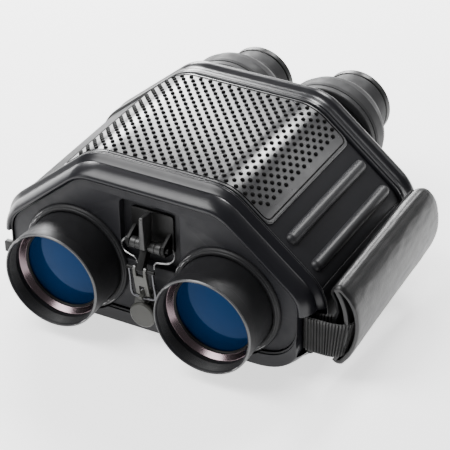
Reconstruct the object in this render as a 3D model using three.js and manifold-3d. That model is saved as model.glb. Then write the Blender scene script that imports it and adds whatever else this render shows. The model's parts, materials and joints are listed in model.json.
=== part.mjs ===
// Gyro-stabilised binoculars with a wide armoured body, a latched battery cap and a side hand strap.
// Millimetres, +Z up. The objectives look along -Y, the eyepieces are at +Y, the hand strap is at +X.
// The origin is the middle of the flat underside. "left" and "right" are the user's, so left is +X.

import * as THREE from 'three';
import { mergeVertices } from 'three/addons/utils/BufferGeometryUtils.js';
import Module from 'manifold-3d';

const wasm = await Module();
wasm.setup();

// ---- driving dimensions -------------------------------------------------------------------------

const GAP = 0.3;                       // clearance between pieces that rest on each other
const SIDES = [{ side: 'left', sign: 1 }, { side: 'right', sign: -1 }];
const FINE = 30;                       // facets round the visible turned pieces
const COARSE = 18;                     // facets round the small and inner ones

const BODY_HALF_WIDTH = 99.5;
const BODY_TOP = 99;
const BEND_HALF_WIDTH = 42.3;          // where the flat top would meet the sloping shoulder
const SHOULDER_ANGLE = THREE.MathUtils.degToRad(40);
const SHOULDER_INSET = 0.72;           // the shoulder steps in less than the top and the sides
const BEND_RADIUS = 30;
const SIDE_RADIUS = 28;
const SOLE_RADIUS = 36;

const BEZEL_FRONT = -66;               // the front bezel, from its lip to the casing
const BEZEL_REAR = 67.4;
const BEZEL_PROFILE = [                // distance back from the lip, and how far the surface is stepped in
  [0, 8], [0.8, 6.9], [3, 5.5], [6, 4.1], [9, 3.5], [11, 2.7], [13, 0.8], [14.2, 0], [15.6, 0], [16.2, 0.7],
];
const REAR_BEZEL_PROFILE = [           // the same, from the rear bezel's lip
  [0, 5.5], [0.5, 3.6], [1.4, 1.8], [2.9, 0.5], [4.6, 0], [6.6, 0.2], [8.2, 1.3], [9.6, 2.1],
  [11.4, 2.1], [13, 0.9], [14.2, 0.1], [18, 0], [18.6, 0.3], [18.9, 0.7],
];
const LIP_SOLE = 0.25;                 // the underside of a bezel steps in less than its sides
const CASING_FRONT = -49.7;
const CASING_REAR = 48.4;
const CASING_INSET = 2;
const CASING_WALL = 3;
const SPLIT_Z = 50;                    // parting plane of the upper and lower casing
const PANEL_INSET = 11;
const PANEL_FACE = 63.4;               // distance of both end panels' outer faces from the middle
const PANEL_THICKNESS = 3;
const TRAY_DEPTH = 4.8;                // the shallow recess round the latch in the front panel

const AXIS_Z = 36.5;                   // height of both optical axes
const OBJECTIVE_X = 46.6;              // half the distance between the objectives
const BARREL_RADIUS = 29;
const BARREL_FRONT = -92;
const COLLAR_RADIUS = 32.4;
const SPIGOT_RADIUS = 22.5;            // the barrel's rear end, which passes through the panel
const LENS_RADIUS = 25;
const HOOD_DEPTH = 14.8;               // from the rim back to the lens's seat

const EYE_X = 32.2;                    // half the distance between the eyepieces, 64.4 mm apart
const EYE_Z = AXIS_Z + 20.6;
const EYE_END = 127.6;
const BOOT_START = 82;
const BUTTON_Z = 74;                   // the power button, between the eyepieces

const PIN_Y = -66.7;                   // the latch lever's pin
const PIN_Z = 59;
const BAIL_HALF = 7.3;                 // half the distance between the bail's two rods
const BAIL_Y = -74.3;                  // the bail's pivot on the lever
const BAIL_Z = 48;
const BAIL_LOW_Y = -72;                // the bail's lower bar, under the cap's keeper
const BAIL_LOW_Z = 28.5;
const CAP_Z = 18.3;                    // axis of the battery cap and tube
const TUBE_RADIUS = 10.3;

const STRAP_WIDTH = 22;                // at the front; the webbing narrows towards the rear
const STRAP_REAR_WIDTH = 16;
const STRAP_THICKNESS = 1.8;
const STRAP_Z = 27.6;                  // middle of the webbing where it leaves the front bezel
const STRAP_RISE = 10;                 // the rear end of the strap sits higher than the front
const STRAP_BAR_X = 93;
const STRAP_BAR_Y = 57;
const STRAP_BAR_RADIUS = 1.6;
const STRAP_EYE = 2;                   // inner radius of the loop round a bar
const PAD_X = 116.5;                   // where the webbing runs inside the pad
const PAD_FRONT = -57;
const PAD_REAR = 53;

const GIMBAL_Z = 48;                   // height of the gimbal's pitch axis
const PRISM_HALF_WIDTH = 17;
const GYRO_Z = 56;
const ROTOR_RADIUS = 13;

// ---- materials ----------------------------------------------------------------------------------

const paint = (color, roughness, metalness = 0) =>
  new THREE.MeshStandardMaterial({ color, roughness, metalness });
const MATERIALS = {
  armour: paint(0x2b2c2f, 0.55),
  bezel: paint(0x3a3b40, 0.4),
  panel: paint(0x35363a, 0.5),
  grip: paint(0x9c9da0, 0.35, 0.6),
  barrel: paint(0x1c1c1f, 0.45),
  ring: paint(0x3b2f36, 0.4, 0.3),
  coated_glass: paint(0x0b2a52, 0.05),
  glass: paint(0x9fb4bf, 0.05),
  rubber: paint(0x4a4a4a, 0.6),
  black_rubber: paint(0x1a1a1b, 0.7),
  steel: paint(0xb8b8b8, 0.25, 1),
  dark_metal: paint(0x5a5a58, 0.4, 0.8),
  aluminium: paint(0xa7a9ac, 0.35, 0.9),
  brass: paint(0xb08d57, 0.3, 0.9),
  webbing: paint(0x222222, 0.85),
  leather: paint(0x2e2e2f, 0.5),
  board: paint(0x1f4d33, 0.6),
  cell: paint(0x6d3b2a, 0.4),
};

// ---- helpers ------------------------------------------------------------------------------------

const group = new THREE.Group();

// A closed three.js geometry as a solid that can be joined and cut.
function solid(geometry) {
  geometry.deleteAttribute('normal');
  geometry.deleteAttribute('uv');
  const merged = mergeVertices(geometry, 1e-4);
  const vertProperties = new Float32Array(merged.attributes.position.array);
  const triVerts = new Uint32Array(merged.index.array);
  return new wasm.Manifold(new wasm.Mesh({ numProp: 3, vertProperties, triVerts }));
}

function geometryOf(body) {
  const mesh = body.getMesh();
  const geometry = new THREE.BufferGeometry();
  geometry.setAttribute('position', new THREE.BufferAttribute(mesh.vertProperties, 3));
  geometry.setIndex(new THREE.BufferAttribute(mesh.triVerts, 1));
  geometry.computeVertexNormals();
  return geometry;
}

function piece(name, body, material, parent = group) {
  const mesh = new THREE.Mesh(geometryOf(body), MATERIALS[material]);
  mesh.name = name;
  parent.add(mesh);
  return mesh;
}

// A shape in the X-Z plane, made solid from yStart to yEnd.
function alongY(shape, yStart, yEnd, curveSegments = 5) {
  const depth = yEnd - yStart;
  const geometry = new THREE.ExtrudeGeometry(shape, { depth, bevelEnabled: false, curveSegments });
  return solid(geometry.rotateX(Math.PI / 2).translate(0, yEnd, 0));
}

// A shape in the X-Y plane, made solid from zStart to zEnd.
function alongZ(shape, zStart, zEnd, curveSegments = 6) {
  const depth = zEnd - zStart;
  const geometry = new THREE.ExtrudeGeometry(shape, { depth, bevelEnabled: false, curveSegments });
  return solid(geometry.translate(0, 0, zStart));
}

// A shape in the Y-Z plane, made solid from xStart to xEnd.
function alongX(shape, xStart, xEnd, curveSegments = 6) {
  const depth = xEnd - xStart;
  const geometry = new THREE.ExtrudeGeometry(shape, { depth, bevelEnabled: false, curveSegments });
  return solid(geometry.rotateY(Math.PI / 2).rotateX(Math.PI / 2).translate(xStart, 0, 0));
}

function box(xStart, xEnd, yStart, yEnd, zStart, zEnd) {
  const geometry = new THREE.BoxGeometry(xEnd - xStart, yEnd - yStart, zEnd - zStart);
  const centre = [(xStart + xEnd) / 2, (yStart + yEnd) / 2, (zStart + zEnd) / 2];
  return solid(geometry.translate(...centre));
}

// A turned piece about an axis along Y at (x, z). The profile is [radius, y], anticlockwise.
function turned(profile, x, z, facets = FINE) {
  const points = profile.map(([radius, y]) => new THREE.Vector2(radius, y));
  return solid(new THREE.LatheGeometry(points, facets).translate(x, 0, z));
}

function tubeProfile(inner, outer, yStart, yEnd) {
  return [[inner, yStart], [outer, yStart], [outer, yEnd], [inner, yEnd], [inner, yStart]];
}

function rodProfile(radius, yStart, yEnd) {
  return [[0, yStart], [radius, yStart], [radius, yEnd], [0, yEnd]];
}

const tube = (inner, outer, yStart, yEnd, x, z, facets) =>
  turned(tubeProfile(inner, outer, yStart, yEnd), x, z, facets);
const rod = (radius, yStart, yEnd, x, z, facets = COARSE) =>
  turned(rodProfile(radius, yStart, yEnd), x, z, facets);

// A round bar with its axis along X or Z.
function bar(radius, length, axis, centre, facets = 16) {
  const geometry = new THREE.CylinderGeometry(radius, radius, length, facets);
  if (axis === 'x') {
    geometry.rotateZ(Math.PI / 2);
  } else {
    geometry.rotateX(Math.PI / 2);
  }
  return solid(geometry.translate(...centre));
}

// A wire that follows a smooth curve through a few points.
function wire(points, radius, steps) {
  const section = new THREE.Shape().absarc(0, 0, radius, 0, 2 * Math.PI);
  const path = new THREE.CatmullRomCurve3(points.map((p) => new THREE.Vector3(...p)));
  const options = { steps, extrudePath: path, curveSegments: 4, bevelEnabled: false };
  return solid(new THREE.ExtrudeGeometry(section, options));
}

// A closed outline with rounded corners; each corner is [x, y, radius].
function roundedShape(corners) {
  const shape = new THREE.Shape();
  corners.forEach(([x, y, radius], i) => {
    const corner = new THREE.Vector2(x, y);
    const before = new THREE.Vector2(...corners[(i + corners.length - 1) % corners.length]);
    const after = new THREE.Vector2(...corners[(i + 1) % corners.length]);
    const toBefore = before.sub(corner).normalize();
    const toAfter = after.sub(corner).normalize();
    const reach = radius / Math.tan(toBefore.angleTo(toAfter) / 2);
    const start = toBefore.multiplyScalar(reach).add(corner);
    const end = toAfter.multiplyScalar(reach).add(corner);
    if (i === 0) {
      shape.moveTo(start.x, start.y);
    } else {
      shape.lineTo(start.x, start.y);
    }
    shape.quadraticCurveTo(corner.x, corner.y, end.x, end.y);
  });
  return shape;
}

const roundedBox = (xStart, xEnd, zStart, zEnd, radius) => roundedShape([
  [xStart, zStart, radius], [xEnd, zStart, radius], [xEnd, zEnd, radius], [xStart, zEnd, radius],
]);

// The body's six-sided cross-section, stepped in from its crest by the given inset.
function bodyShape(inset, sole = inset) {
  const sin = Math.sin(SHOULDER_ANGLE);
  const cos = Math.cos(SHOULDER_ANGLE);
  const top = BODY_TOP - inset;
  const side = BODY_HALF_WIDTH - inset;
  const shoulder = SHOULDER_INSET * inset;
  const bendX = BEND_HALF_WIDTH + (inset * cos - shoulder) / sin;
  const sideZ = BODY_TOP - (shoulder + sin * (side - BEND_HALF_WIDTH)) / cos;
  const bendRadius = BEND_RADIUS - inset;
  const sideRadius = SIDE_RADIUS - inset;
  const soleRadius = SOLE_RADIUS - inset;
  return roundedShape([
    [-side, sole, soleRadius], [side, sole, soleRadius], [side, sideZ, sideRadius],
    [bendX, top, bendRadius], [-bendX, top, bendRadius], [-side, sideZ, sideRadius],
  ]);
}

const bodySlab = (inset, yStart, yEnd) => alongY(bodyShape(inset), yStart, yEnd);

// A solid through matching X-Z outlines; the stations run from the rear to the front.
function loft(stations) {
  const first = stations[0].outline;
  const last = stations.length - 1;
  const options = { depth: last, steps: last, bevelEnabled: false };
  const geometry = new THREE.ExtrudeGeometry(new THREE.Shape(first), options);
  const position = geometry.attributes.position;
  for (let i = 0; i < position.count; i += 1) {
    const near = (point) => Math.hypot(point.x - position.getX(i), point.y - position.getY(i)) < 1e-3;
    const { y, outline } = stations[Math.round(position.getZ(i))];
    const point = outline[first.findIndex(near)];
    position.setXYZ(i, point.x, y, point.y);
  }
  return solid(geometry);
}

// ---- casing -------------------------------------------------------------------------------------

// One of the long round-ended finger ribs on the strap's side, at a distance down the slope from the bend.
function shoulderRib(distance) {
  const radius = 3.8;
  const halfLength = 45;
  const x = BEND_HALF_WIDTH + distance * Math.cos(SHOULDER_ANGLE);
  const z = BODY_TOP - distance * Math.sin(SHOULDER_ANGLE);
  const geometry = new THREE.CapsuleGeometry(radius, 2 * (halfLength - radius), 3, 10);
  const sink = 1.6;
  return solid(geometry.translate(x - sink, 0, z - sink));
}

function addCasing() {
  const skin = bodySlab(CASING_INSET, CASING_FRONT, CASING_REAR);
  const hollow = bodySlab(CASING_INSET + CASING_WALL, -60, 60);
  const shell = skin.subtract(hollow);
  let upper = shell.intersect(box(-120, 120, -60, 60, SPLIT_Z + GAP / 2, 120));
  for (const distance of [42.7, 61.7]) {
    upper = upper.add(shoulderRib(distance).subtract(hollow));
  }
  piece('upper_casing', upper, 'armour');

  const hatch = alongZ(roundedBox(-60 - GAP, 60 + GAP, -36 - GAP, 36 + GAP, 6), -5, 10);
  const lower = shell.intersect(box(-120, 120, -60, 60, -5, SPLIT_Z - GAP / 2)).subtract(hatch);
  piece('lower_casing', lower, 'armour');
}

// The studded grip plate is a thin bent sheet over the top and part of each shoulder.
function addGripPlate() {
  const halfWidth = 64.3;
  const outer = bodySlab(0.4, CASING_FRONT + 0.9, CASING_REAR - 0.8);
  const inner = bodySlab(CASING_INSET - 0.4, -60, 60);
  const window = box(-halfWidth, halfWidth, -60, 60, 60, 120);
  piece('grip_plate', outer.subtract(inner).intersect(window), 'grip');
}

function addBase() {
  const plate = alongZ(roundedBox(-60, 60, -36, 36, 6), 0, CASING_INSET + CASING_WALL);
  const bushY = -22;
  const bush = { bore: 3.1, radius: 9 };
  const screws = [[-52, -29], [52, -29], [52, 29], [-52, 29]];
  const hole = (x, y, radius, zStart, zEnd) => (
    bar(radius, zEnd - zStart, 'z', [x, y, (zStart + zEnd) / 2], 20));
  let base = plate.subtract(hole(0, bushY, bush.radius + GAP, -1, 10));
  for (const [x, y] of screws) {
    base = base.subtract(hole(x, y, 3.6, -1, 2.6)).subtract(hole(x, y, 2, 2, 10));
  }
  piece('base_plate', base, 'armour');

  const flange = hole(0, bushY, bush.radius, 0, 6.8);
  const thread = hole(0, bushY, bush.bore, -1, 5.5);
  piece('tripod_bush', flange.subtract(thread), 'brass');

  screws.forEach(([x, y], i) => {
    const head = hole(x, y, 3.2, 0.5, 2.3);
    const shank = hole(x, y, 1.6, 2, 9);
    const slot = box(x - 2.4, x + 2.4, y - 0.4, y + 0.4, 0, 1.2);
    piece(`base_screw_${i + 1}`, head.add(shank).subtract(slot), 'steel');
  });
}

// ---- bezels and end panels ----------------------------------------------------------------------

// A ring that frames an end panel: a sloping front band, a shallow valley and a thin crest beside
// the casing. Facing is -1 at the front, 1 at the rear.
function bezelRing(facing) {
  const lip = facing < 0 ? BEZEL_FRONT : BEZEL_REAR;
  const profile = facing < 0 ? BEZEL_PROFILE : REAR_BEZEL_PROFILE;
  const stations = profile.map(([back, inset]) => (
    { y: lip - facing * back, outline: bodyShape(inset, inset * LIP_SOLE).getPoints(5) }));
  const ring = loft(facing < 0 ? stations.reverse() : stations);
  const ledge = PANEL_FACE - PANEL_THICKNESS - GAP;
  const seat = bodySlab(PANEL_INSET - GAP, facing < 0 ? -80 : ledge, facing < 0 ? -ledge : 80);
  const opening = bodySlab(PANEL_INSET + 2, -80, 80);
  let bezel = ring.subtract(seat).subtract(opening);
  for (const { sign } of SIDES) {
    bezel = bezel.subtract(strapPocket(sign, facing));
  }
  return bezel;
}

// The middle of the strap's height, and its width, at the front (-1) or the rear (1).
const strapHeight = (facing) => STRAP_Z + (facing > 0 ? STRAP_RISE : 0);
const strapWidth = (facing) => (facing > 0 ? STRAP_REAR_WIDTH : STRAP_WIDTH);

// The notch in a bezel's flank where a strap loops round its bar.
function strapPocket(sign, facing) {
  const inner = BODY_HALF_WIDTH - PANEL_INSET + GAP;
  const outer = BODY_HALF_WIDTH + 10;
  const nearY = facing * 51.5;
  const farY = facing * 70;
  const top = strapHeight(facing) + strapWidth(facing) / 2 + 2.5;
  const bottom = strapHeight(facing) - strapWidth(facing) / 2 - 2.5;
  return box(Math.min(sign * inner, sign * outer), Math.max(sign * inner, sign * outer),
    Math.min(nearY, farY), Math.max(nearY, farY), bottom, top);
}

function addBezels() {
  let front = bezelRing(-1);
  let rear = bezelRing(1);
  for (const { sign } of SIDES) {
    const collarWay = rod(COLLAR_RADIUS + 0.6, -80, -PANEL_FACE + GAP, sign * OBJECTIVE_X, AXIS_Z, FINE);
    front = front.subtract(collarWay);
    rear = rear.subtract(rod(36.6, 59, 80, sign * EYE_X, EYE_Z, FINE));
    for (const facing of [-1, 1]) {
      const centre = [sign * STRAP_BAR_X, facing * STRAP_BAR_Y, strapHeight(facing)];
      const hole = bar(STRAP_BAR_RADIUS + GAP, strapWidth(facing) + 8.6, 'z', centre);
      front = front.subtract(hole);
      rear = rear.subtract(hole);
    }
  }
  front = front.subtract(rod(TUBE_RADIUS + GAP, -80, -40, 0, CAP_Z));
  rear = rear.subtract(rod(TUBE_RADIUS + GAP, 40, 50, 0, CAP_Z));
  piece('front_bezel', front, 'bezel');
  piece('rear_bezel', rear, 'bezel');
}

function addFrontPanel() {
  const back = -PANEL_FACE + PANEL_THICKNESS;
  let panel = bodySlab(PANEL_INSET, -PANEL_FACE, back);
  const tray = { half: 18.5, bottom: 44, top: 82, depth: TRAY_DEPTH, wall: 1.5 };
  const trayShape = (grow) => roundedBox(
    -tray.half - grow, tray.half + grow, tray.bottom - grow, tray.top + grow, 4 + grow);
  panel = panel.add(alongY(trayShape(tray.wall), -PANEL_FACE + 1, -PANEL_FACE + tray.depth + tray.wall));
  panel = panel.subtract(alongY(trayShape(0), -80, -PANEL_FACE + tray.depth));
  for (const { sign } of SIDES) {
    panel = panel.subtract(rod(SPIGOT_RADIUS + GAP, -80, -40, sign * OBJECTIVE_X, AXIS_Z, FINE));
  }
  panel = panel.subtract(rod(TUBE_RADIUS + GAP, -80, -40, 0, CAP_Z));
  piece('front_panel', panel, 'panel');
}

function addRearPanel() {
  let panel = bodySlab(PANEL_INSET, PANEL_FACE - PANEL_THICKNESS, PANEL_FACE);
  for (const { sign } of SIDES) {
    panel = panel.subtract(rod(13.5 + GAP, 40, 80, sign * OBJECTIVE_X, AXIS_Z));
  }
  panel = panel.subtract(rod(4.5 + GAP, 40, 80, 0, BUTTON_Z));
  piece('rear_panel', panel, 'panel');
}

// ---- objectives ---------------------------------------------------------------------------------

function addObjective({ side, sign }) {
  const x = sign * OBJECTIVE_X;
  const turn = (profile, facets) => turned(profile, x, AXIS_Z, facets);
  const lensSeat = BARREL_FRONT + HOOD_DEPTH;
  const barrel = turn([
    [27.3, BARREL_FRONT + 0.8], [27.9, BARREL_FRONT], [28.5, BARREL_FRONT],
    [BARREL_RADIUS, BARREL_FRONT + 0.8],
    [BARREL_RADIUS, BARREL_FRONT + 7], [28.2, -PANEL_FACE - GAP], [SPIGOT_RADIUS, -PANEL_FACE - GAP],
    [SPIGOT_RADIUS, -56], [20.4, -56], [20.4, lensSeat + 4.5], [LENS_RADIUS + GAP, lensSeat + 4.5],
    [LENS_RADIUS + GAP, lensSeat], [27.3, lensSeat], [27.3, BARREL_FRONT + 0.8],
  ]);
  piece(`objective_barrel_${side}`, barrel, 'barrel');

  const collar = turn([
    [29, -66.4], [31.2, -66.4], [32, -65.6], [COLLAR_RADIUS, -PANEL_FACE - GAP], [29, -PANEL_FACE - GAP],
    [29, -66.4],
  ]);
  piece(`objective_collar_${side}`, collar, 'barrel');

  const ring = turn([
    [23.2, lensSeat - 0.9], [24.5, lensSeat - 1.2], [26.4, lensSeat - 5], [27, lensSeat - 5],
    [27, lensSeat - GAP], [23.2, lensSeat - GAP], [23.2, lensSeat - 0.9],
  ]);
  piece(`lens_ring_${side}`, ring, 'ring');

  const lens = turn([
    [0, lensSeat - 1], [8, lensSeat - 0.8], [16, lensSeat - 0.3], [22.6, lensSeat + 0.5],
    [LENS_RADIUS, lensSeat + 1], [LENS_RADIUS, lensSeat + 4], [0, lensSeat + 4],
  ]);
  piece(`objective_lens_${side}`, lens, 'coated_glass');
}

// ---- eyepieces ----------------------------------------------------------------------------------

function addEyepiece({ side, sign }) {
  const pivotX = sign * OBJECTIVE_X;
  const x = sign * EYE_X;
  const turn = (profile, facets) => turned(profile, x, EYE_Z, facets);

  const drum = rod(28.2, 66.8, BOOT_START - 1.2, x, EYE_Z, FINE);
  const arm = rod(17, 66.8, BOOT_START - 1.2, pivotX, AXIS_Z);
  const boss = rod(13.5, 56, 67, pivotX, AXIS_Z);
  const sleeve = rod(18.2, BOOT_START - 2, 100, x, EYE_Z);
  const eyeWay = rod(16, 70, 120, x, EYE_Z);
  const lightWay = rod(10, 40, 74, pivotX, AXIS_Z);
  const housing = drum.add(arm).add(boss).add(sleeve).subtract(eyeWay).subtract(lightWay);
  piece(`eyepiece_housing_${side}`, housing, 'black_rubber');

  const boot = turn([
    [18.5, BOOT_START - 0.9], [31.4, BOOT_START - 0.9], [31.9, BOOT_START + 4], [31.9, BOOT_START + 12],
    [30, BOOT_START + 17.4], [26.5, BOOT_START + 23], [21.7, BOOT_START + 28.5], [18.5, BOOT_START + 28.5],
    [18.5, BOOT_START - 0.9],
  ]);
  piece(`eyepiece_boot_${side}`, boot, 'rubber');

  const ringStart = BOOT_START + 28.8;
  const diopter = turn([
    [14.6, 101], [18, 101], [18, ringStart], [20.4, ringStart], [20, ringStart + 4], [20.5, EYE_END - 5],
    [14.6, EYE_END - 5], [14.6, 101],
  ]);
  piece(`diopter_ring_${side}`, diopter, 'rubber');

  const cup = turn([
    [14.4, EYE_END - 4.7], [20.8, EYE_END - 4.7], [21.2, EYE_END - 1], [20.2, EYE_END],
    [18.4, EYE_END], [16.6, EYE_END - 2.4], [14.4, EYE_END - 2.8], [14.4, EYE_END - 4.7],
  ]);
  piece(`eyecup_${side}`, cup, 'black_rubber');

  const lens = turn([
    [0, 112], [14.3, 112], [14.3, 116], [9, 117], [0, 117.6],
  ], COARSE);
  piece(`eye_lens_${side}`, lens, 'glass');
}

function addPowerButton() {
  const cap = rod(4.5, 59, 65.4, 0, BUTTON_Z);
  const stop = rod(6.5, 57.5, 59.5, 0, BUTTON_Z);
  piece('power_button', cap.add(stop), 'black_rubber');
}

// ---- latch --------------------------------------------------------------------------------------

function addLatch() {
  const trayBack = -PANEL_FACE + TRAY_DEPTH;
  const ear = new THREE.Shape([[trayBack - GAP, PIN_Z - 6], [PIN_Y - 1, PIN_Z - 4], [PIN_Y - 3.2, PIN_Z],
    [PIN_Y - 2, PIN_Z + 3], [trayBack - GAP, PIN_Z + 8]].map(([y, z]) => new THREE.Vector2(y, z)));
  let bracket = box(-13, 13, trayBack - 1.8, trayBack - GAP, PIN_Z - 6, PIN_Z + 18);
  for (const { sign } of SIDES) {
    const inner = sign * 9.8;
    const outer = sign * 11.8;
    bracket = bracket.add(alongX(ear, Math.min(inner, outer), Math.max(inner, outer)));
  }
  bracket = bracket.subtract(bar(1.5 + 0.1, 40, 'x', [0, PIN_Y, PIN_Z]));
  piece('latch_bracket', bracket, 'dark_metal');

  const pin = bar(1.5, 27, 'x', [0, PIN_Y, PIN_Z]);
  piece('latch_pin', pin, 'steel');

  // The lever is a tapered finger fin on a short barrel, with an arm down to the bail's pivot.
  const hub = bar(3.2, 19, 'x', [0, PIN_Y, PIN_Z], 18);
  const finSide = new THREE.Shape([[PIN_Y - 5.7, PIN_Z], [PIN_Y - 5.7, PIN_Z + 20.4],
    [trayBack - 3.2, PIN_Z + 19], [PIN_Y + 2, PIN_Z]].map(([y, z]) => new THREE.Vector2(y, z)));
  const finFront = new THREE.Shape([[-2.1, PIN_Z - 1], [2.1, PIN_Z - 1], [1, PIN_Z + 21], [-1, PIN_Z + 21]]
    .map(([x, z]) => new THREE.Vector2(x, z)));
  const fin = alongX(finSide, -3, 3).intersect(alongY(finFront, -90, -40));
  const armSide = new THREE.Shape([[PIN_Y - 3, PIN_Z + 1], [PIN_Y + 2.6, PIN_Z - 1],
    [BAIL_Y + 2.2, BAIL_Z - 1.2], [BAIL_Y, BAIL_Z - 2], [BAIL_Y - 2, BAIL_Z]]
    .map(([y, z]) => new THREE.Vector2(y, z)));
  const arm = alongX(armSide, -2.1, 2.1);
  const bore = bar(1.5 + 0.1, 40, 'x', [0, PIN_Y, PIN_Z]);
  const bailBore = bar(1.1 + 0.1, 40, 'x', [0, BAIL_Y, BAIL_Z], 12);
  const lever = hub.add(fin).add(arm).subtract(bore).subtract(bailBore);
  piece('latch_lever', lever, 'dark_metal');

  for (const { side, sign } of SIDES) {
    const spring = wire([
      [sign * 14.2, -63.8, 58.8], [sign * 16.4, -65.5, 55.8], [sign * 14.5, -67, 52.4],
      [sign * 9.5, -68.5, 51.4], [sign * 6, -69, 50.6], [sign * 5, -68.5, 46.5],
    ], 0.6, 14);
    piece(`latch_spring_${side}`, spring, 'steel');
  }

  // The bail is a stirrup on the lever's arm; its lower bar catches under the battery cap's keeper.
  const along = (part) => [BAIL_Y + (BAIL_LOW_Y - BAIL_Y) * part, BAIL_Z + (BAIL_LOW_Z - BAIL_Z) * part];
  const stirrup = wire([
    [-BAIL_HALF, ...along(0)], [-BAIL_HALF, ...along(0.4)], [-BAIL_HALF, ...along(0.86)],
    [-BAIL_HALF + 0.8, ...along(0.96)], [-BAIL_HALF + 2.4, ...along(1)], [BAIL_HALF - 2.4, ...along(1)],
    [BAIL_HALF - 0.8, ...along(0.96)], [BAIL_HALF, ...along(0.86)], [BAIL_HALF, ...along(0.4)],
    [BAIL_HALF, ...along(0)],
  ], 0.9, 26);
  const across = bar(1.1, 2 * BAIL_HALF + 2.6, 'x', [0, BAIL_Y, BAIL_Z], 12);
  piece('latch_bail', across.add(stirrup), 'steel');

  // A plate clipped to the bail's upper bar covers the stirrup, slotted for the keeper.
  const [endY, endZ] = along(0.9);
  const plateSide = new THREE.Shape([[BAIL_Y - 1.9, BAIL_Z + 0.6], [BAIL_Y, BAIL_Z + 2.1],
    [BAIL_Y + 1.9, BAIL_Z], [BAIL_Y + 0.6, BAIL_Z - 1.9], [endY + 0.4, endZ], [endY - 0.6, endZ],
    [BAIL_Y - 1.5, BAIL_Z - 3]]
    .map(([y, z]) => new THREE.Vector2(y, z)));
  const pivotSlot = box(-2.4, 2.4, BAIL_Y - 6, BAIL_Y + 6, BAIL_Z - 4, BAIL_Z + 6);
  const keeperSlot = box(-1.7, 1.7, BAIL_Y - 6, BAIL_Y + 6, 20, 37);
  const plate = alongX(plateSide, -4.1, 4.1).subtract(bar(1.1 + 0.2, 40, 'x', [0, BAIL_Y, BAIL_Z], 12))
    .subtract(pivotSlot).subtract(keeperSlot);
  piece('bail_plate', plate, 'steel');
}

// ---- battery ------------------------------------------------------------------------------------

function addBattery() {
  const neck = 4.4;
  const cap = turned([
    [0, -75.2], [7, -75.2], [7.8, -74.4], [7.8, -73.4], [neck, -73.4], [neck, -68], [10, -66.4],
    [10, -PANEL_FACE], [8.6, -PANEL_FACE], [8.6, -58], [0, -58],
  ], 0, CAP_Z, COARSE);
  const keeperZ = BAIL_LOW_Z + 0.9 + GAP;
  const web = box(-1.15, 1.15, -70.2, -65, CAP_Z + 5, keeperZ + 1.5);
  const keeper = box(-1.15, 1.15, -76.2, -67, keeperZ, keeperZ + 1.5);
  piece('battery_cap', cap.add(web).add(keeper), 'dark_metal');

  const shell = tube(TUBE_RADIUS - 1.3, TUBE_RADIUS, -PANEL_FACE + GAP, 48.5, 0, CAP_Z, COARSE);
  piece('battery_tube', shell.add(rod(TUBE_RADIUS, 48.2, 49.6, 0, CAP_Z)), 'aluminium');
  for (let i = 0; i < 3; i += 1) {
    const start = -56.5 + 35 * i;
    const cell = rod(8.5, start, start + 33, 0, CAP_Z).add(rod(3, start + 32, start + 34.4, 0, CAP_Z));
    piece(`battery_cell_${i + 1}`, cell, 'cell');
  }
}

// ---- hand strap ---------------------------------------------------------------------------------

// The webbing leaves the front pocket, runs through the pad and returns to the rear pocket. Its
// outline is drawn in plan, and each end is an eye round its bar. Inside the pad it leans with the pad.
function strapBand(thickness, extraWidth) {
  const half = thickness / 2;
  const eye = STRAP_EYE + STRAP_THICKNESS / 2;
  const turnY = STRAP_BAR_Y - 9;
  const leaveX = STRAP_BAR_X + 8;
  const at = (x, y) => new THREE.Vector2(x, y);
  const turn = new THREE.CubicBezierCurve(at(leaveX, -STRAP_BAR_Y - eye), at(PAD_X - 4, -STRAP_BAR_Y - eye),
    at(PAD_X, -STRAP_BAR_Y), at(PAD_X, -turnY));
  const straight = [36, 24, 12].map((y) => at(PAD_X, -y));
  const front = [at(STRAP_BAR_X, -STRAP_BAR_Y - eye), ...turn.getPoints(8), ...straight];
  const route = [...front, at(PAD_X, 0), ...front.map(({ x, y }) => at(x, -y)).reverse()];
  const edge = (offset) => route.map((point, i) => {
    const before = route[Math.max(i - 1, 0)];
    const after = route[Math.min(i + 1, route.length - 1)];
    const along = after.clone().sub(before).normalize();
    return at(point.x + along.y * offset, point.y - along.x * offset);
  });
  const outline = new THREE.Shape([...edge(half), ...edge(-half).reverse()]);
  const geometry = new THREE.ExtrudeGeometry(outline, { depth: 1, bevelEnabled: false });
  const position = geometry.attributes.position;
  const clamp = THREE.MathUtils.clamp;
  const lerp = THREE.MathUtils.lerp;
  for (let i = 0; i < position.count; i += 1) {
    const x = position.getX(i);
    const y = position.getY(i);
    const rearward = clamp((y + turnY) / (2 * turnY), 0, 1);
    const outward = clamp((x - leaveX) / (PAD_X - leaveX), 0, 1);
    const upper = position.getZ(i) > 0.5;
    const lean = upper ? lerp(0, -3.8, rearward) : lerp(-4.4, -2.5, rearward);
    const halfWidth = (lerp(STRAP_WIDTH, STRAP_REAR_WIDTH, rearward) + extraWidth) / 2;
    const z = STRAP_Z + STRAP_RISE * rearward + (upper ? halfWidth : -halfWidth);
    position.setXYZ(i, x + lean * outward, y, z);
  }
  return solid(geometry);
}

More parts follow.
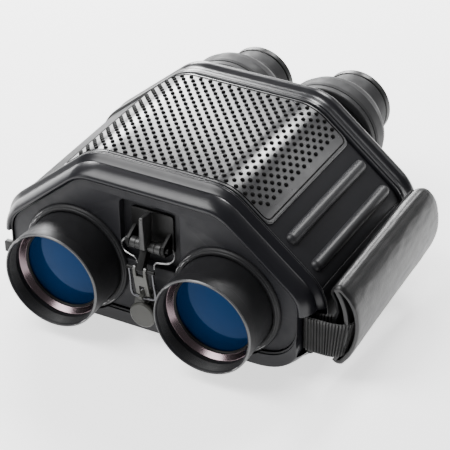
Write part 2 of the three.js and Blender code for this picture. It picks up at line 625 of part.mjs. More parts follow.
function addStrap() {
  let webbing = strapBand(STRAP_THICKNESS, 0);
  const centre = (facing) => [STRAP_BAR_X, facing * STRAP_BAR_Y, strapHeight(facing)];
  for (const facing of [-1, 1]) {
    webbing = webbing.add(bar(STRAP_EYE + STRAP_THICKNESS, strapWidth(facing), 'z', centre(facing), 20));
  }
  for (const facing of [-1, 1]) {
    webbing = webbing.subtract(bar(STRAP_EYE, STRAP_WIDTH + 4, 'z', centre(facing), 20));
  }
  piece('strap_webbing', webbing, 'webbing');

  // The pad is a bulging sleeve. Towards the rear it gets narrower, flatter and higher.
  const section = new THREE.Shape();
  section.moveTo(105.5, 59);
  section.quadraticCurveTo(109, 62, 112, 59);
  section.bezierCurveTo(123, 51, 125, 27, 111, 11);
  section.quadraticCurveTo(107, 9, 105, 12);
  section.bezierCurveTo(114, 26, 115, 46, 105.5, 59);
  const stations = [
    [1, 0.72], [0.975, 0.88], [0.92, 0.97], [0.8, 1], [0.55, 1], [0.3, 1], [0.03, 1],
    [0.005, 0.96], [0, 0.92],
  ];
  const pad = loft(stations.map(([rearward, size]) => {
    const outline = section.getPoints(7).slice(0, -1).map(({ x, y: z }) => {
      const drop = (59 - z) / 49;
      const shift = 7.2 * drop - 0.8 - 21.6 * drop * (1 - drop);
      const centreZ = THREE.MathUtils.lerp(36, 44, rearward);
      const movedX = x + rearward * shift;
      const movedZ = z + rearward * (3.6 + 14 * drop);
      return new THREE.Vector2(115 + (movedX - 115) * size, centreZ + (movedZ - centreZ) * size);
    });
    return { y: THREE.MathUtils.lerp(PAD_FRONT, PAD_REAR, rearward), outline };
  }));
  piece('strap_pad', pad.subtract(strapBand(STRAP_THICKNESS + 1.4, 1.2)), 'leather');

  for (const { side, sign } of SIDES) {
    for (const [end, facing] of [['front', -1], ['rear', 1]]) {
      const x = sign * STRAP_BAR_X;
      const y = facing * STRAP_BAR_Y;
      const z = strapHeight(facing);
      let strapBar = bar(STRAP_BAR_RADIUS, strapWidth(facing) + 8, 'z', [x, y, z]);
      if (sign < 0) {
        strapBar = strapBar.add(box(x - 6.6, x, y - 1.6, y + 1.6, z - 7.6, z - 0.6));
      }
      piece(`strap_bar_${end}_${side}`, strapBar, 'steel');
    }
  }
}

// ---- stabiliser ---------------------------------------------------------------------------------

// A frame hangs from a bearing under the roof and yaws; a cradle pitches in it. The cradle carries
// the erecting prisms and the gyro, so that the image stays still while the body shakes.
function addStabiliser() {
  const low = GIMBAL_Z - 4;
  const high = GIMBAL_Z + 4;
  const frame = { x: 84, y: 40 };
  const cradle = { x: 76, y: 31 };
  const wall = 4;
  const hoop = ({ x, y }) => {
    const rim = roundedShape([[-x, -y, 10], [x, -y, 10], [x, y, 10], [-x, y, 10]]);
    const inX = x - wall;
    const inY = y - wall;
    const hole = roundedShape([[-inX, -inY, 7], [inX, -inY, 7], [inX, inY, 7], [-inX, inY, 7]]);
    return alongZ(rim, low, high, 3).subtract(alongZ(hole, low - 1, high + 1, 3));
  };

  const bearing = bar(10, 3, 'z', [0, 0, 92.2], COARSE).add(bar(6.5, 9, 'z', [0, 0, 88], COARSE));
  piece('gimbal_bearing', bearing.subtract(bar(3.6, 20, 'z', [0, 0, 86], COARSE)), 'brass');

  // The arch over the gyro joins the frame to its spindle.
  const archTop = 82;
  const arch = new THREE.Shape([[-frame.y, low], [-frame.y + wall, low], [-frame.y + wall, archTop - 8],
    [-frame.y + 10, archTop - 3], [frame.y - 10, archTop - 3], [frame.y - wall, archTop - 8],
    [frame.y - wall, low], [frame.y, low], [frame.y, archTop - 6], [frame.y - 9, archTop],
    [9 - frame.y, archTop],
    [-frame.y, archTop - 6]].map(([y, z]) => new THREE.Vector2(y, z)));
  const spindle = bar(3.4, 10, 'z', [0, 0, archTop + 3.9], COARSE);
  const pivotBore = bar(2.6, 200, 'x', [0, 0, GIMBAL_Z], COARSE);
  const outer = hoop(frame).add(alongX(arch, -5, 5)).add(spindle).subtract(pivotBore);
  piece('gimbal_frame', outer, 'aluminium');

  let inner = hoop(cradle);
  for (const { side, sign } of SIDES) {
    const span = (near, far, ...rest) => (
      box(Math.min(sign * near, sign * far), Math.max(sign * near, sign * far), ...rest));
    const prismNear = OBJECTIVE_X - PRISM_HALF_WIDTH;
    const prismFar = OBJECTIVE_X + PRISM_HALF_WIDTH;
    inner = inner.add(span(prismNear - GAP - 4, prismNear - GAP, -cradle.y, cradle.y, low, high));
    inner = inner.add(span(prismFar + GAP, prismFar + GAP + 3, -cradle.y, cradle.y, low, high));
    inner = inner.add(bar(2.4, 9, 'x', [sign * (cradle.x + 3.5), 0, GIMBAL_Z], COARSE));
    const profile = new THREE.Shape([[-22, 25], [22, 25], [22, 44], [9, 57], [-9, 57], [-22, 44]]
      .map(([y, z]) => new THREE.Vector2(y, z)));
    const centreX = sign * OBJECTIVE_X;
    const prism = alongX(profile, centreX - PRISM_HALF_WIDTH, centreX + PRISM_HALF_WIDTH);
    piece(`prism_${side}`, prism, 'glass');
  }
  piece('gimbal_cradle', inner, 'aluminium');

  const drum = tube(ROTOR_RADIUS + 1.5, ROTOR_RADIUS + 4, -16, 16, 0, GYRO_Z);
  const axle = 2.5;
  const ends = [-16, 13.5].map((y) => rod(ROTOR_RADIUS + 3, y, y + 2.5, 0, GYRO_Z)
    .subtract(rod(axle + 0.1, y - 1, y + 4, 0, GYRO_Z)));
  const feet = box(-25, 25, -5, 5, low, low + 5)
    .subtract(rod(ROTOR_RADIUS + 3, -20, 20, 0, GYRO_Z));
  piece('gyro_housing', drum.add(ends[0]).add(ends[1]).add(feet), 'dark_metal');
  const rotor = rod(ROTOR_RADIUS, -11, 11, 0, GYRO_Z).add(rod(axle, -17, 17, 0, GYRO_Z));
  piece('gyro_rotor', rotor, 'brass');

  piece('circuit_board', box(-21, 21, 51.6, 53.2, 32, 86), 'board');
}

// ---- build --------------------------------------------------------------------------------------

addCasing();
addGripPlate();
addBase();
addBezels();
addFrontPanel();
addRearPanel();
SIDES.forEach(addObjective);
SIDES.forEach(addEyepiece);
addPowerButton();
addLatch();
addBattery();
addStrap();
addStabiliser();

export default group;
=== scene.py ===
import json
import math

import bpy
import numpy as np
from mathutils import Matrix, Vector


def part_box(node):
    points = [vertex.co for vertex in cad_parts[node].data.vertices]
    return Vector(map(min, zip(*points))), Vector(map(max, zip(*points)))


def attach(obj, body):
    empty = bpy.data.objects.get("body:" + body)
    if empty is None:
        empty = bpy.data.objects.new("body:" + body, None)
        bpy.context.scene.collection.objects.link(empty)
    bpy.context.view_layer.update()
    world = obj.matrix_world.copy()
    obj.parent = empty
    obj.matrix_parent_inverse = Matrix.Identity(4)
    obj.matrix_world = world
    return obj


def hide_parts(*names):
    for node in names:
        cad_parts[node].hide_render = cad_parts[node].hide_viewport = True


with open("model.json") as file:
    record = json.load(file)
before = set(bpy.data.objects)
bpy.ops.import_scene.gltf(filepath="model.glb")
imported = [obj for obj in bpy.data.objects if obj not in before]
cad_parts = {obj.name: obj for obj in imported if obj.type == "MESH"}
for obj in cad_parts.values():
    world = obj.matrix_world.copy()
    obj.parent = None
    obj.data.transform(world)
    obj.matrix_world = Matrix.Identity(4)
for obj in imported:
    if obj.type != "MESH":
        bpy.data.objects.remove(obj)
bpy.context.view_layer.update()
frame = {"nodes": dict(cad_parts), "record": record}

# Shared dimensions, in millimetres, in the frame of the CAD part.
TOP = 99.0
HALF = 99.5
BEND = 42.3
SLOPE = math.radians(40)
RADII = {"bend": 30.0, "side": 28.0, "sole": 36.0}
OBJECTIVE = (46.6, 36.5)
EYE = (32.2, 57.1)
SIDES = {"left": 1, "right": -1}


# ---- mesh tools ------------------------------------------------------------------------------

def centre_of(node):
    low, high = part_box(node)
    return (low + high) / 2 * 1000


def finish_piece(obj, body, material, stands_for=(), sharp=32):
    """Shades, paints and mounts one finished piece."""
    obj.name = obj.name.replace(" ", "_")
    mesh = obj.data
    mesh.polygons.foreach_set("use_smooth", [True] * len(mesh.polygons))
    mesh.set_sharp_from_angle(angle=math.radians(sharp))
    mesh.materials.clear()
    mesh.materials.append(material)
    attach(obj, body)
    if stands_for:
        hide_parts(*([stands_for] if isinstance(stands_for, str) else stands_for))
    return obj


def mesh_piece(name, points, faces):
    """A mesh object from points in millimetres."""
    mesh = bpy.data.meshes.new(name)
    mesh.from_pydata([tuple(0.001 * c for c in p) for p in points], [], faces)
    mesh.validate()
    mesh.update()
    obj = bpy.data.objects.new(name, mesh)
    bpy.context.scene.collection.objects.link(obj)
    return obj


def outward(obj):
    """Turns every face outwards."""
    import bmesh
    bm = bmesh.new()
    bm.from_mesh(obj.data)
    bmesh.ops.recalc_face_normals(bm, faces=bm.faces)
    bm.to_mesh(obj.data)
    bm.free()
    return obj


def grid_faces(rows, columns, wrap_rows, wrap_columns):
    faces = []
    for i in range(rows if wrap_rows else rows - 1):
        for j in range(columns if wrap_columns else columns - 1):
            k, m = (i + 1) % rows, (j + 1) % columns
            faces.append((i * columns + j, i * columns + m, k * columns + m, k * columns + j))
    return faces


def rounded(points, closed=True, steps=4):
    """A polyline whose corners (x, y, radius) are rounded."""
    line = []
    count = len(points)
    for i, point in enumerate(points):
        x, y, radius = (*point, 0.0)[:3]
        if radius <= 0 or (not closed and i in (0, count - 1)):
            line.append((x, y))
            continue
        corner = Vector((x, y))
        before = (Vector(points[i - 1][:2]) - corner).normalized()
        after = (Vector(points[(i + 1) % count][:2]) - corner).normalized()
        reach = radius / math.tan(max(before.angle(after), 1e-3) / 2)
        start, end = corner + before * reach, corner + after * reach
        for s in range(steps + 1):
            t = s / steps
            line.append(tuple((1 - t) ** 2 * start + 2 * t * (1 - t) * corner + t * t * end))
    return line


def lathe(name, profile, axis, closed=True, segments=96, steps=4):
    """A turned piece about an axis along Y at (x, z). The profile is (radius, y, corner radius)."""
    line = rounded(profile, closed, steps)
    points, faces, rings = [], [], []
    for radius, y in line:
        if radius < 1e-6:
            rings.append([len(points)])
            points.append((axis[0], y, axis[1]))
            continue
        rings.append(range(len(points), len(points) + segments))
        for s in range(segments):
            a = 2 * math.pi * s / segments
            points.append((axis[0] + radius * math.cos(a), y, axis[1] + radius * math.sin(a)))
    pairs = list(zip(rings, rings[1:])) + ([(rings[-1], rings[0])] if closed else [])
    for low, high in pairs:
        for s in range(segments):
            t = (s + 1) % segments
            if len(low) == 1 and len(high) == 1:
                continue
            if len(low) == 1:
                faces.append((low[0], high[t], high[s]))
            elif len(high) == 1:
                faces.append((low[s], low[t], high[0]))
            else:
                faces.append((low[s], low[t], high[t], high[s]))
    return outward(mesh_piece(name, points, faces))


def body_outline(inset, sole=None, steps=12):
    """The body's rounded six-sided section as (x, z), stepped in from its crest."""
    sole = inset if sole is None else sole
    sin, cos = math.sin(SLOPE), math.cos(SLOPE)
    side, shoulder = HALF - inset, 0.72 * inset
    bend = BEND + (inset * cos - shoulder) / sin
    corner = TOP - (shoulder + sin * (side - BEND)) / cos
    top = TOP - inset
    radii = {k: r - inset for k, r in RADII.items()}
    return rounded([
        (-side, sole, radii["sole"]), (side, sole, radii["sole"]), (side, corner, radii["side"]),
        (bend, top, radii["bend"]), (-bend, top, radii["bend"]), (-side, corner, radii["side"]),
    ], steps=steps)


def body_ring(name, profile, steps=12):
    """A ring round the body; the closed profile is (y, inset, inset of the sole)."""
    outlines = [(y, body_outline(inset, sole, steps)) for y, inset, sole in profile]
    points = [(x, y, z) for y, outline in outlines for x, z in outline]
    return outward(mesh_piece(name, points, grid_faces(len(outlines), len(outlines[0][1]), True, True)))


def slab(name, loops, plane, start, end, bevel=0.4, rounding=2):
    """A plate with rounded edges. The loops are its outline and holes; plane is xz, xy or yz."""
    curve = bpy.data.curves.new(name, "CURVE")
    curve.dimensions = "2D"
    curve.fill_mode = "BOTH"
    curve.extrude = 0.001 * (abs(end - start) / 2 - bevel)
    curve.bevel_depth = 0.001 * bevel
    curve.bevel_resolution = rounding
    curve.offset = -0.001 * bevel
    for loop in loops:
        spline = curve.splines.new("POLY")
        spline.points.add(len(loop) - 1)
        for point, (u, v) in zip(spline.points, loop):
            point.co = (0.001 * u, 0.001 * v, 0, 1)
        spline.use_cyclic_u = True
    obj = bpy.data.objects.new(name, curve)
    bpy.context.scene.collection.objects.link(obj)
    middle = 0.001 * (start + end) / 2
    turns = {
        "xy": Matrix.Translation((0, 0, middle)),
        "xz": Matrix.Translation((0, middle, 0)) @ Matrix.Rotation(math.pi / 2, 4, "X"),
        "yz": Matrix.Translation((middle, 0, 0)) @ Matrix.Rotation(math.pi / 2, 4, "Z")
        @ Matrix.Rotation(math.pi / 2, 4, "X"),
    }
    return to_mesh(obj, turns[plane])


def to_mesh(obj, turn=Matrix.Identity(4)):
    """Replaces a curve object by its mesh, turned into place."""
    bpy.context.view_layer.update()
    graph = bpy.context.evaluated_depsgraph_get()
    mesh = bpy.data.meshes.new_from_object(obj.evaluated_get(graph))
    name = obj.name
    data = obj.data
    bpy.data.objects.remove(obj)
    if isinstance(data, bpy.types.Curve):
        bpy.data.curves.remove(data)
    mesh.transform(turn)
    made = bpy.data.objects.new(name, mesh)
    made.name = name
    bpy.context.scene.collection.objects.link(made)
    weld(made)
    return outward(made)


def weld(obj, distance=1e-6):
    import bmesh
    bm = bmesh.new()
    bm.from_mesh(obj.data)
    bmesh.ops.remove_doubles(bm, verts=bm.verts, dist=distance)
    bm.to_mesh(obj.data)
    bm.free()


def wire(name, points, radius, steps=8, cyclic=False):
    """A round wire along a smooth curve through points in millimetres."""
    curve = bpy.data.curves.new(name, "CURVE")
    curve.dimensions = "3D"
    curve.bevel_depth = 0.001 * radius
    curve.bevel_resolution = 4
    curve.resolution_u = steps
    curve.use_fill_caps = True
    spline = curve.splines.new("BEZIER")
    spline.bezier_points.add(len(points) - 1)
    for bezier, p in zip(spline.bezier_points, points):
        bezier.co = [0.001 * c for c in p]
        bezier.handle_left_type = bezier.handle_right_type = "AUTO"
    spline.use_cyclic_u = cyclic
    obj = bpy.data.objects.new(name, curve)
    bpy.context.scene.collection.objects.link(obj)
    return to_mesh(obj)


def joined(name, *objects):
    """One object from several, each a closed solid of its own."""
    points, faces = [], []
    for obj in objects:
        base = len(points)
        points.extend(tuple(1000 * c for c in v.co) for v in obj.data.vertices)
        faces.extend(tuple(base + i for i in p.vertices) for p in obj.data.polygons)
        bpy.data.objects.remove(obj)
    return mesh_piece(name, points, faces)


def cut(obj, *cutters):
    """Cuts the cutters out of obj."""
    for cutter in cutters:
        step = obj.modifiers.new("cut", "BOOLEAN")
        step.operation = "DIFFERENCE"
        step.solver = "EXACT"
        step.object = cutter
    bpy.context.view_layer.update()
    graph = bpy.context.evaluated_depsgraph_get()
    mesh = bpy.data.meshes.new_from_object(obj.evaluated_get(graph))
    obj.modifiers.clear()
    obj.data = mesh
    for cutter in cutters:
        bpy.data.objects.remove(cutter)
    return obj


def soften(obj, width, segments=3, angle=35):
    """Rounds the sharp edges of obj."""
    step = obj.modifiers.new("soften", "BEVEL")
    step.width = 0.001 * width
    step.segments = segments
    step.limit_method = "ANGLE"
    step.angle_limit = math.radians(angle)
    bpy.context.view_layer.update()
    graph = bpy.context.evaluated_depsgraph_get()
    mesh = bpy.data.meshes.new_from_object(obj.evaluated_get(graph))
    obj.modifiers.clear()
    obj.data = mesh
    return obj


def block(name, x, y, z, round_corners=1.0, soft=0.3, plane="xz"):
    """A block with rounded corners in one plane and softened edges all over."""
    ranges = {"xz": (x, z, y), "xy": (x, y, z), "yz": (y, z, x)}[plane]
    (u0, u1), (v0, v1), (w0, w1) = ranges
    loop = rounded([(u0, v0, round_corners), (u1, v0, round_corners), (u1, v1, round_corners),
                    (u0, v1, round_corners)])
    return slab(name, [loop], plane, w0, w1, soft)


def circle(x, z, radius, count=64):
    return [(x + radius * math.cos(2 * math.pi * i / count), z + radius * math.sin(2 * math.pi * i / count))
            for i in range(count)]


# ---- materials -------------------------------------------------------------------------------

def material(name, colour, roughness, metallic=0.0, specular=0.5, grain=1400, bump=0.25, depth=0.05,
             variation=0.12, edge_wear_and_highlight=0.35, coat=0.0, spread=0.08, edge=0.06, tint=(1, 1, 1)):
    """A moulded, painted or machined surface: mottled colour, uneven gloss, fine grain, and lighter sharp edges, which
    are rubbed paint and, where set high, a painted highlight.
    """
    mat = bpy.data.materials.new(name)
    mat.use_nodes = True
    nodes, links = mat.node_tree.nodes, mat.node_tree.links
    shader = nodes["Principled BSDF"]
    shader.inputs["Metallic"].default_value = metallic
    shader.inputs["Specular IOR Level"].default_value = specular
    shader.inputs["Coat Weight"].default_value = coat
    shader.inputs["Coat Roughness"].default_value = 0.12
    shader.inputs["Specular Tint"].default_value = (*tint, 1)
    where = nodes.new("ShaderNodeTexCoord")

    def noise(scale, detail=3.0):
        node = nodes.new("ShaderNodeTexNoise")
        node.inputs["Scale"].default_value = scale
        node.inputs["Detail"].default_value = detail
        links.new(where.outputs["Object"], node.inputs["Vector"])
        return node.outputs["Fac"]

    def mapped(source, low, high, from_low=0.3, from_high=0.7):
        node = nodes.new("ShaderNodeMapRange")
        node.inputs["From Min"].default_value = from_low
        node.inputs["From Max"].default_value = from_high
        node.inputs["To Min"].default_value = low
        node.inputs["To Max"].default_value = high
        links.new(source, node.inputs["Value"])
        return node.outputs["Result"]

    tone = nodes.new("ShaderNodeMix")
    tone.data_type = "RGBA"
    tone.inputs["A"].default_value = (*[c * (1 - variation) for c in colour], 1)
    tone.inputs["B"].default_value = (*[min(c * (1 + variation), 1) for c in colour], 1)
    links.new(noise(45, 5.0), tone.inputs["Factor"])
    # Sharp edges are mixed towards a lighter colour: rubbed paint, and where this is set high, as on the barrel, a
    # painted highlight along its rims.
    edges = nodes.new("ShaderNodeNewGeometry")
    edge_tone = nodes.new("ShaderNodeMix")
    edge_tone.data_type = "RGBA"
    links.new(mapped(edges.outputs["Pointiness"], 0, edge_wear_and_highlight, 0.52, 0.6), edge_tone.inputs["Factor"])
    links.new(tone.outputs["Result"], edge_tone.inputs["A"])
    edge_tone.inputs["B"].default_value = (*[min(edge + c * 1.7, 1) for c in colour], 1)
    links.new(edge_tone.outputs["Result"], shader.inputs["Base Color"])
    links.new(mapped(noise(160, 4.0), max(roughness - spread, 0.02), min(roughness + spread, 1)),
              shader.inputs["Roughness"])
    relief = nodes.new("ShaderNodeBump")
    relief.inputs["Strength"].default_value = bump
    relief.inputs["Distance"].default_value = 0.001 * depth
    links.new(noise(grain, 2.0), relief.inputs["Height"])
    links.new(relief.outputs["Normal"], shader.inputs["Normal"])
    return mat


MATS = {
    "armour": material("armour", (0.0135, 0.0135, 0.0155), 0.5, specular=0.1, bump=0.12, spread=0.03, edge_wear_and_highlight=0.1),
    "rib": material("rib", (0.0135, 0.0135, 0.0155), 0.44, specular=0.3, spread=0.02, bump=0.08, edge_wear_and_highlight=0.1),
    "bezel": material("bezel", (0.0072, 0.0072, 0.0092), 0.30, specular=0.3, bump=0.08, edge_wear_and_highlight=0.06, spread=0.02),
    "panel": material("panel", (0.0115, 0.0115, 0.0138), 0.5, specular=0.22, bump=0.35, depth=0.06, edge_wear_and_highlight=0.2),
    "grip": material("grip", (0.015, 0.015, 0.017), 0.29, specular=0.7, bump=0.12, variation=0.06, spread=0.03),
    # Near-black and almost without gloss: partly the studs' black rubber, partly painted shade for the dark reflections
    # of their domed sides; also used for the painted shade line round the plate.
    "stud_black_and_shade": material("stud_black_and_shade", (0.003, 0.003, 0.003), 0.55, specular=0.05, bump=0.1, edge_wear_and_highlight=0.0),
    # The barrel's strong edge lightening paints the highlight along its rims.
    "barrel": material("barrel", (0.0085, 0.0085, 0.0095), 0.52, specular=0.26, bump=0.3, edge_wear_and_highlight=0.9, spread=0.06,
                       edge=0.25),
    # A lighter grey for the ring round each barrel's front rim: a painted highlight, partly rubbed paint.
    "worn_edge": material("worn_edge", (0.045, 0.045, 0.047), 0.34, specular=0.6, bump=0.1, edge_wear_and_highlight=0.2),
    "ring": material("ring", (0.17, 0.13, 0.142), 0.25, metallic=1.0, bump=0.05, edge_wear_and_highlight=0.05, spread=0.02),
    "coated_glass": material("coated_glass", (0.0013, 0.016, 0.055), 0.08, specular=0.17, bump=0.0, edge_wear_and_highlight=0.0,
                             spread=0.02, tint=(0.02, 0.3, 1.0)),
    "glass": material("glass", (0.014, 0.018, 0.022), 0.05, specular=0.4, bump=0.0, edge_wear_and_highlight=0.0, coat=0.2,
                      spread=0.02),
    "rubber": material("rubber", (0.017, 0.017, 0.018), 0.58, specular=0.22, bump=0.3, depth=0.06),
    "black_rubber": material("black_rubber", (0.005, 0.005, 0.005), 0.42, specular=0.3, bump=0.3),
    "steel": material("steel", (0.26, 0.26, 0.26), 0.3, metallic=1.0, bump=0.08, edge_wear_and_highlight=0.1),
    "dark_steel": material("dark_steel", (0.07, 0.07, 0.075), 0.26, metallic=1.0, bump=0.08, edge_wear_and_highlight=0.5),
    "dark_metal": material("dark_metal", (0.018, 0.018, 0.018), 0.42, specular=0.4, bump=0.2),
    "black_metal": material("black_metal", (0.004, 0.004, 0.004), 0.45, specular=0.2, bump=0.1, edge_wear_and_highlight=0.1),
    "grey_metal": material("grey_metal", (0.034, 0.034, 0.030), 0.46, specular=0.35, bump=0.3),
    "aluminium": material("aluminium", (0.55, 0.56, 0.58), 0.34, metallic=0.9, bump=0.1),
    "brass": material("brass", (0.55, 0.40, 0.18), 0.3, metallic=1.0, bump=0.1),
    "webbing": material("webbing", (0.005, 0.005, 0.005), 0.6, specular=0.25, grain=2600, bump=0.6, depth=0.12,
                        edge_wear_and_highlight=0.8),
    "leather": material("leather", (0.0075, 0.0075, 0.008), 0.42, specular=0.42, grain=900, bump=0.6, depth=0.14,
                        variation=0.05, spread=0.03, edge_wear_and_highlight=0.1),
    # Near-black: partly the pad's inner layer and filling, partly painted shade inside the pad.
    "lining": material("lining", (0.003, 0.003, 0.0035), 0.65, specular=0.12, edge_wear_and_highlight=0.1, grain=2200, bump=0.5, depth=0.1),
    "board": material("board", (0.02, 0.12, 0.06), 0.4, bump=0.1),
    "cell": material("cell", (0.20, 0.06, 0.03), 0.4, bump=0.1),
}

# Every CAD node starts with the material of its own slot; visible ones are replaced further on.
SLOT_OF = {s["node"]: s["material_slot"] for s in frame["record"]["subparts"]}
for node_name, node in frame["nodes"].items():
    node.data.materials.clear()
    node.data.materials.append(MATS[SLOT_OF[node_name]])
BODY_OF = {n: b for b, names in frame["record"]["behaviour"]["bodies"].items() for n in names}


def stands_in(obj, node, mat=None, sharp=32):
    """Finishes a piece that replaces the CAD node of that name."""
    slot = SLOT_OF[node]
    return finish_piece(obj, BODY_OF[node], MATS[mat or slot], node, sharp)


def goes_with(obj, node, mat, sharp=32):
    """Finishes a detail that rides with a CAD node but doesn't replace it."""
    return finish_piece(obj, BODY_OF[node], MATS[mat], (), sharp)


def rod(name, radius, start, end, centre, along="y", soft=0.25, segments=48):
    """A plain rod with rounded rims, along x, y or z."""
    profile = [(0, start, 0), (radius, start, soft), (radius, end, soft), (0, end, 0)]
    obj = lathe(name, profile, (0, 0), closed=False, segments=segments, steps=3)
    u, v = centre
    if along == "y":
        obj.data.transform(Matrix.Translation((0.001 * u, 0, 0.001 * v)))
    elif along == "x":
        obj.data.transform(Matrix.Translation((0, 0.001 * u, 0.001 * v)) @ Matrix.Rotation(-math.pi / 2, 4, "Z"))
    else:
        obj.data.transform(Matrix.Translation((0.001 * u, 0.001 * v, 0)) @ Matrix.Rotation(math.pi / 2, 4, "X"))
    return obj


def box_cutter(x, y, z):
    corners = [(a, b, c) for c in z for b in y for a in x]
    faces = [(0, 2, 3, 1), (4, 5, 7, 6), (0, 1, 5, 4), (2, 6, 7, 3), (0, 4, 6, 2), (1, 3, 7, 5)]
    return outward(mesh_piece("cutter", corners, faces))


def rounded_box(x0, x1, z0, z1, radius):
    return rounded([(x0, z0, radius), (x1, z0, radius), (x1, z1, radius), (x0, z1, radius)], steps=8)


# ---- casing ----------------------------------------------------------------------------------

CASING = [(-49.7, 2.6, 2.6), (-49.5, 2.15, 2.15), (-49.2, 2, 2), (47.9, 2, 2), (48.2, 2.15, 2.15),
          (48.4, 2.6, 2.6), (48.4, 5, 5), (-49.7, 5, 5)]
upper = cut(body_ring("upper casing", CASING, 16), box_cutter((-120, 120), (-60, 60), (-10, 50.18)))
stands_in(soften(upper, 0.35), "upper_casing")
lower = cut(body_ring("lower casing", CASING, 16), box_cutter((-120, 120), (-60, 60), (49.82, 120)),
            slab("cutter", [rounded_box(-60.3, 60.3, -36.3, 36.3, 6)], "xy", -5, 10, 0.1))
stands_in(soften(lower, 0.35), "lower_casing")

for number, distance in enumerate((42.7, 61.7), 1):
    place = (BEND + distance * math.cos(SLOPE) - 1.6, TOP - distance * math.sin(SLOPE) - 1.6)
    nose = [(3.8 * math.sin(a), 41.2 + 3.8 * math.cos(a), 0) for a in np.linspace(0, math.pi / 2, 12)]
    shape = [(r, -y, 0) for r, y, _ in nose] + nose[::-1]
    goes_with(lathe(f"finger rib {number}", shape, place, closed=False, segments=48, steps=6),
              "upper_casing", "rib")

# ---- grip plate and its studs ----------------------------------------------------------------

GRIP = [(-55, 0.4, 0.4), (55, 0.4, 0.4), (55, 1.7, 1.7), (-55, 1.7, 1.7)]
grip = body_ring("grip plate", GRIP, 20)
trim = grip.modifiers.new("trim", "BOOLEAN")
trim.operation = "INTERSECT"
trim.solver = "EXACT"
window = slab("window", [rounded_box(-64.3, 64.3, -48.8, 47.6, 5)], "xy", 60, 120, 0.01, 0)
trim.object = window
bpy.context.view_layer.update()
grip.data = bpy.data.meshes.new_from_object(grip.evaluated_get(bpy.context.evaluated_depsgraph_get()))
grip.modifiers.clear()
bpy.data.objects.remove(window)
stands_in(soften(grip, 0.42, 4), "grip_plate")


def along_plate():
    """The plate's outer line as lists of distance from the middle, x, z and normal."""
    line = [p for p in body_outline(0.4, steps=40) if p[1] > 55]
    line = np.array(sorted(line))
    line = np.array([[x, np.interp(x, line[:, 0], line[:, 1])] for x in np.arange(-66, 66.01, 0.5)])
    step = np.hypot(*np.diff(line, axis=0).T)
    distance = np.concatenate([[0], np.cumsum(step)])
    distance -= np.interp(0, line[:, 0], distance)
    slope = np.arctan(np.gradient(line[:, 1], line[:, 0]))
    return distance, line, slope


STUD_PITCH = 6.15
STUD_ROW = 3.54


def studs():
    distance, line, slope = along_plate()
    reach = np.interp(59.8, line[:, 0], distance)
    profile = [(1.28, -0.1), (1.26, 0.3), (1.12, 0.62), (0.8, 0.84), (0.4, 0.94), (0, 0.97)]
    points, faces, sides = [], [], 14
    for row in range(26):
        y = -45 + row * STUD_ROW
        shift = STUD_PITCH / 2 if row % 2 else 0.0
        for column in range(-12, 13):
            u = column * STUD_PITCH + shift
            if abs(u) > reach or (abs(y) > 43 and abs(u) > reach - 3):
                continue
            x, z = np.interp(u, distance, line[:, 0]), np.interp(u, distance, line[:, 1])
            lean = np.interp(u, distance, slope)
            across, normal = (math.cos(lean), math.sin(lean)), (-math.sin(lean), math.cos(lean))
            start = len(points)
            for radius, height in profile[:-1]:
                for s in range(sides):
                    a = 2 * math.pi * s / sides
                    du = radius * math.cos(a)
                    points.append((x + du * across[0] + height * normal[0], y + radius * math.sin(a),
                                   z + du * across[1] + height * normal[1]))
            points.append((x + profile[-1][1] * normal[0], y, z + profile[-1][1] * normal[1]))
            rings = len(profile) - 1
            for r in range(rings - 1):
                for s in range(sides):
                    t = (s + 1) % sides
                    low, high = start + r * sides, start + (r + 1) * sides
                    faces.append((low + s, low + t, high + t, high + s))
            last, tip = start + (rings - 1) * sides, start + rings * sides
            faces.extend((last + s, last + (s + 1) % sides, tip) for s in range(sides))
    return mesh_piece("grip studs", points, faces)


def groove_shade_line():
    """The thin dark line that runs round the plate, a little inside its edge: a black wire that paints the shade of a
    recessed line there.
    """
    distance, line, slope = along_plate()
    loop = [tuple(q)[:2] for q in rounded_box(-62.7, 62.7, -47.1, 45.9, 4)]
    points = []
    for (x0, y0), (x1, y1) in zip(loop, loop[1:] + loop[:1]):
        count = max(1, round(math.hypot(x1 - x0, y1 - y0) / 2))
        for k in range(count):
            x, y = x0 + (x1 - x0) * k / count, y0 + (y1 - y0) * k / count
            points.append((x, y, np.interp(x, line[:, 0], line[:, 1]) - 0.22))
    return wire("grip shade line", points, 0.5, 2, True)


# The studs' near-black is partly black rubber, partly painted shade.
goes_with(studs(), "grip_plate", "stud_black_and_shade", 60)
# A black wire as painted shade round the plate.
goes_with(groove_shade_line(), "grip_plate", "stud_black_and_shade", 60)

# ---- bezels ----------------------------------------------------------------------------------

